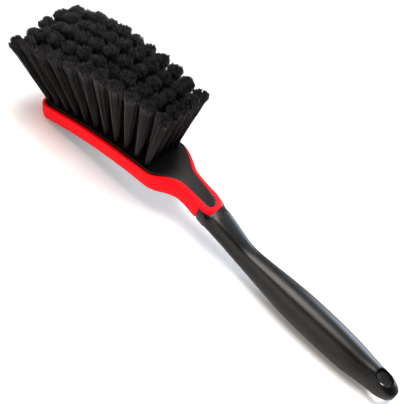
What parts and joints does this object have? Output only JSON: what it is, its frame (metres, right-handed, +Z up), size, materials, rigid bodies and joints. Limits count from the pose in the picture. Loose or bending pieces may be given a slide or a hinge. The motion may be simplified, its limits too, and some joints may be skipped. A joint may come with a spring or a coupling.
{
  "type": "wheel brush",
  "caption": "Long-handled wheel cleaning brush with a curved head of soft flagged tufts, a soft rim bumper and a swelling grip with a hang hole.",
  "frame": {"origin": "middle of the resting brush's box, on the surface it lies on", "axes": "+X from the head towards the handle's end, +Y across the head, +Z up, the way the bristles point when the brush lies on its back"},
  "size_m": [0.3936, 0.0726, 0.1055],
  "materials": {
    "black_moulding": "satin moulded polypropylene",
    "red_bumper": "matt soft-touch thermoplastic elastomer",
    "bristle": "flagged polyester filament",
    "staple_wire": "flat drawn wire"
  },
  "bodies": {
    "root": {"core_and_handle": "black_moulding", "soft_bumper": "red_bumper", "anchor_staples": "staple_wire", "tuft_01a": "bristle", "tuft_01b": "bristle", "tuft_01c": "bristle", "tuft_01d": "bristle", "tuft_01e": "bristle", "tuft_02a": "bristle", "tuft_02b": "bristle", "tuft_02c": "bristle", "tuft_02d": "bristle", "tuft_02e": "bristle", "tuft_03a": "bristle", "tuft_03b": "bristle", "tuft_03c": "bristle", "tuft_03d": "bristle", "tuft_03e": "bristle", "tuft_04a": "bristle", "tuft_04b": "bristle", "tuft_04c": "bristle", "tuft_04d": "bristle", "tuft_04e": "bristle", "tuft_05a": "bristle", "tuft_05b": "bristle", "tuft_05c": "bristle", "tuft_05d": "bristle", "tuft_05e": "bristle", "tuft_06a": "bristle", "tuft_06b": "bristle", "tuft_06c": "bristle", "tuft_06d": "bristle", "tuft_06e": "bristle", "tuft_07a": "bristle", "tuft_07b": "bristle", "tuft_07c": "bristle", "tuft_07d": "bristle", "tuft_07e": "bristle", "tuft_08a": "bristle", "tuft_08b": "bristle", "tuft_08c": "bristle", "tuft_08d": "bristle", "tuft_08e": "bristle", "tuft_09a": "bristle", "tuft_09b": "bristle", "tuft_09c": "bristle", "tuft_09d": "bristle", "tuft_09e": "bristle", "tuft_10a": "bristle", "tuft_10b": "bristle", "tuft_10c": "bristle", "tuft_10d": "bristle", "tuft_10e": "bristle", "tuft_11a": "bristle", "tuft_11b": "bristle", "tuft_11c": "bristle", "tuft_11d": "bristle", "tuft_11e": "bristle"}
  },
  "joints": []
}
